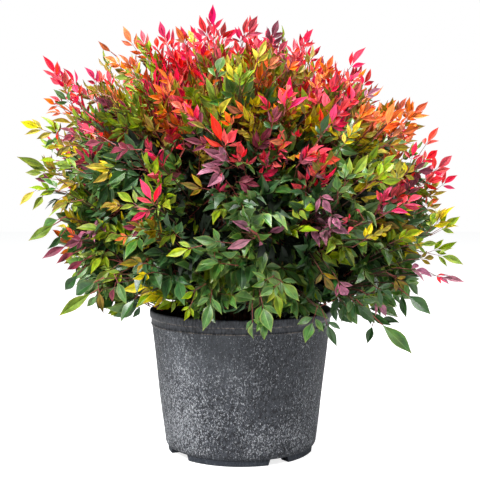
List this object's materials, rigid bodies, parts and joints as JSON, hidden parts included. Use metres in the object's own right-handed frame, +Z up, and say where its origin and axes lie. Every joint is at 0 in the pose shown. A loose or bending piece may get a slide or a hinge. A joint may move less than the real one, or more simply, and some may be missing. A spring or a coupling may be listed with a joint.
{
  "type": "heavenly bamboo in a pot",
  "caption": "Mounded dwarf heavenly bamboo shrub with a dense rounded crown in green, yellow and red, growing in a round tapered nursery pot.",
  "frame": {"origin": "middle of the pot's underside, at the level the pot stands on", "axes": "+Z up, the front of the plant faces -Y, +X to its right"},
  "size_m": [0.8601, 0.8574, 0.8432],
  "materials": {
    "pot_plastic": "matte",
    "potting_mix": "rough",
    "cane_bark": "rough",
    "foliage_tinted": "satin",
    "foliage_green": "satin"
  },
  "bodies": {
    "root": {"pot": "pot_plastic", "potting_mix": "potting_mix", "cane_1": "cane_bark", "cane_2": "cane_bark", "cane_3": "cane_bark", "cane_4": "cane_bark", "cane_5": "cane_bark", "cane_6": "cane_bark", "cane_7": "cane_bark", "cane_8": "cane_bark", "cane_9": "cane_bark", "cane_10": "cane_bark", "cane_11": "cane_bark", "bough_1": "cane_bark", "bough_2": "cane_bark", "bough_3": "cane_bark", "bough_4": "cane_bark", "bough_5": "cane_bark", "bough_6": "cane_bark", "bough_7": "cane_bark", "bough_8": "cane_bark", "bough_9": "cane_bark", "bough_10": "cane_bark", "bough_11": "cane_bark", "bough_12": "cane_bark", "bough_13": "cane_bark", "bough_14": "cane_bark", "bough_15": "cane_bark", "bough_16": "cane_bark", "bough_17": "cane_bark", "foliage_top_1": "foliage_tinted", "foliage_top_2": "foliage_tinted", "foliage_top_3": "foliage_tinted", "foliage_top_4": "foliage_tinted", "foliage_upper_1": "foliage_tinted", "foliage_upper_2": "foliage_tinted", "foliage_upper_3": "foliage_tinted", "foliage_upper_4": "foliage_tinted", "foliage_upper_5": "foliage_tinted", "foliage_upper_6": "foliage_tinted", "foliage_upper_7": "foliage_tinted", "foliage_middle_1": "foliage_green", "foliage_middle_2": "foliage_green", "foliage_middle_3": "foliage_green", "foliage_middle_4": "foliage_green", "foliage_middle_5": "foliage_green", "foliage_middle_6": "foliage_green", "foliage_middle_7": "foliage_green", "foliage_middle_8": "foliage_green", "foliage_lower_1": "foliage_green", "foliage_lower_2": "foliage_green", "foliage_lower_3": "foliage_green", "foliage_lower_4": "foliage_green", "foliage_lower_5": "foliage_green", "foliage_lower_6": "foliage_green", "foliage_lower_7": "foliage_green", "foliage_lower_8": "foliage_green", "foliage_lower_9": "foliage_green"}
  },
  "joints": []
}
